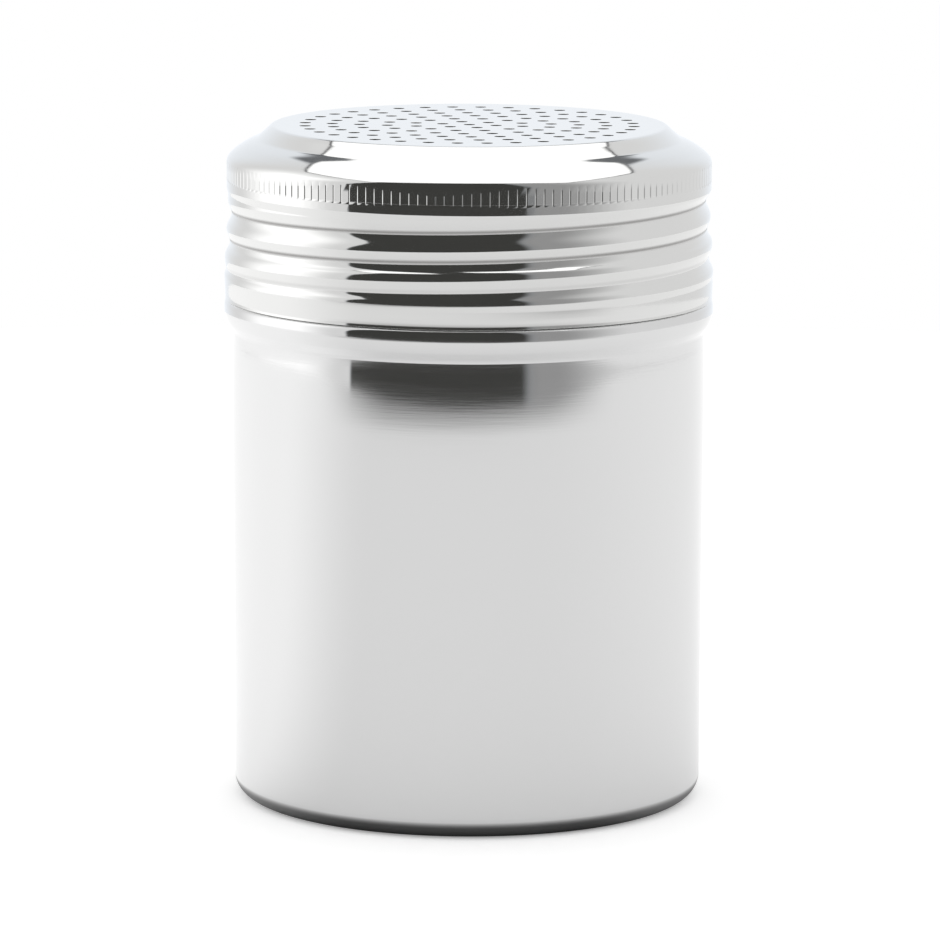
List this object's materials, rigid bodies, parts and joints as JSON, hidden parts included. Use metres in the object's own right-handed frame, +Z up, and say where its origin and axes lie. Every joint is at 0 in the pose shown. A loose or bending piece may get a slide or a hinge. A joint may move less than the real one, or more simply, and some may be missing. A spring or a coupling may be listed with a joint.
{
  "type": "spice shaker",
  "caption": "Cylindrical steel spice shaker: a drawn cup with a threaded neck and a perforated screw lid with a knurled rim.",
  "frame": {"origin": "middle of the cup's flat base, on the surface that the shaker stands on", "axes": "+Z up along the axis of the cup and the lid; -Y towards the picture's viewer"},
  "size_m": [0.07, 0.07, 0.097],
  "materials": {
    "satin_steel": "satin, brushed round the body",
    "polished_steel": "polished",
    "white_rubber": "matt, moulded"
  },
  "bodies": {
    "cup": {"cup": "satin_steel"},
    "seal": {"lid_seal_washer": "white_rubber"},
    "lid": {"screw_lid": "polished_steel"}
  },
  "joints": [
    {"name": "lid_rise", "type": "slide", "parent": "cup", "child": "seal", "axis": [0, 0, 1], "range_m": [0, 0.01418]},
    {"name": "lid_turn", "type": "hinge", "parent": "seal", "child": "lid", "pos_m": [0, 0, 0.0847], "axis": [0, 0, 1], "range_deg": [0, 1260]}
  ],
  "couplings": [
    {"joint": "lid_rise", "follows": "lid_turn", "m_per_rad": 0.00064458}
  ]
}
